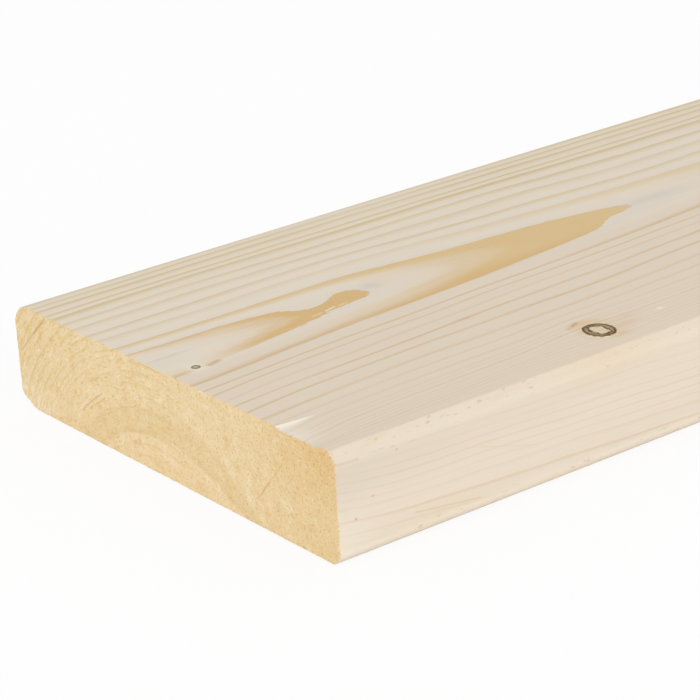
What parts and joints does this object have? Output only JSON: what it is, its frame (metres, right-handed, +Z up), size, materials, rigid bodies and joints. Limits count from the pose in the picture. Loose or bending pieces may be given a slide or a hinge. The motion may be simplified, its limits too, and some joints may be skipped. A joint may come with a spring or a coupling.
{
  "type": "timber lumber plank",
  "caption": "Straight planed softwood plank of rectangular section with eased long arrises and square sawn ends, for framing, shelving and general building work.",
  "frame": {"origin": "centre of the underside, halfway along the plank", "axes": "+X along the plank's length, +Y across its broad face, +Z up through its thickness"},
  "size_m": [2.4, 0.184, 0.038],
  "materials": {
    "planed_spruce": "planed bare softwood, matte, with rough sawn ends"
  },
  "bodies": {
    "root": {"plank": "planed_spruce"}
  },
  "joints": []
}
